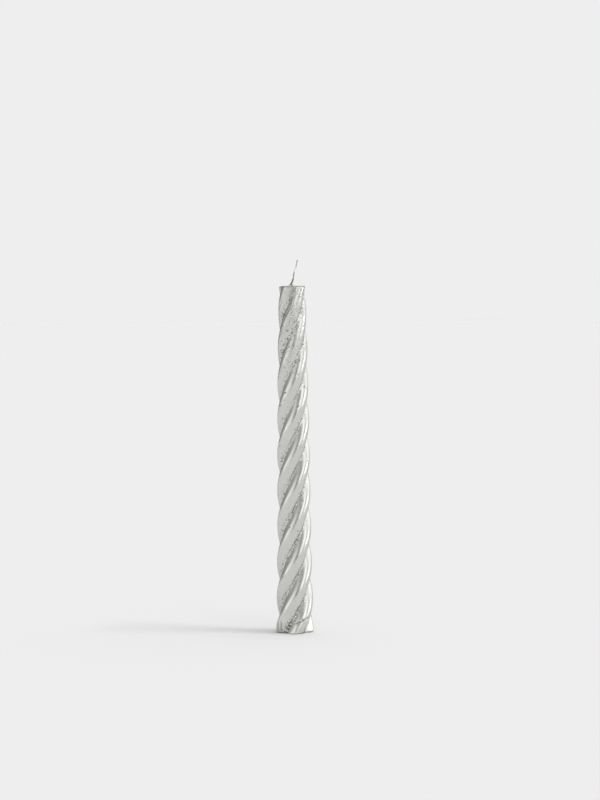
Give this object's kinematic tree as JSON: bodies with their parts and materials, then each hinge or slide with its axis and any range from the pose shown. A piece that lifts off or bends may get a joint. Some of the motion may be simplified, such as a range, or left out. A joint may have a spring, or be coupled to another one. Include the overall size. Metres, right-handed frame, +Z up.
{
  "type": "spiral candle",
  "caption": "Tall slim dinner candle with round lobes twisted right-handed up the whole body, a flat foot, a bright silver dip coat over the wax and a bare leaning wick.",
  "frame": {"origin": "centre of the flat foot that the candle stands on", "axes": "+Z up along the candle's axis, towards the wick; -Y faces the picture's viewer and +X is to the viewer's right, the side that the wick leans to"},
  "size_m": [0.022, 0.022, 0.2152],
  "materials": {
    "wick": "matte",
    "wax_core": "satin",
    "silver_coat": "satin"
  },
  "bodies": {
    "root": {"wick": "wick", "wax_core": "wax_core", "silver_coat": "silver_coat"}
  },
  "joints": []
}
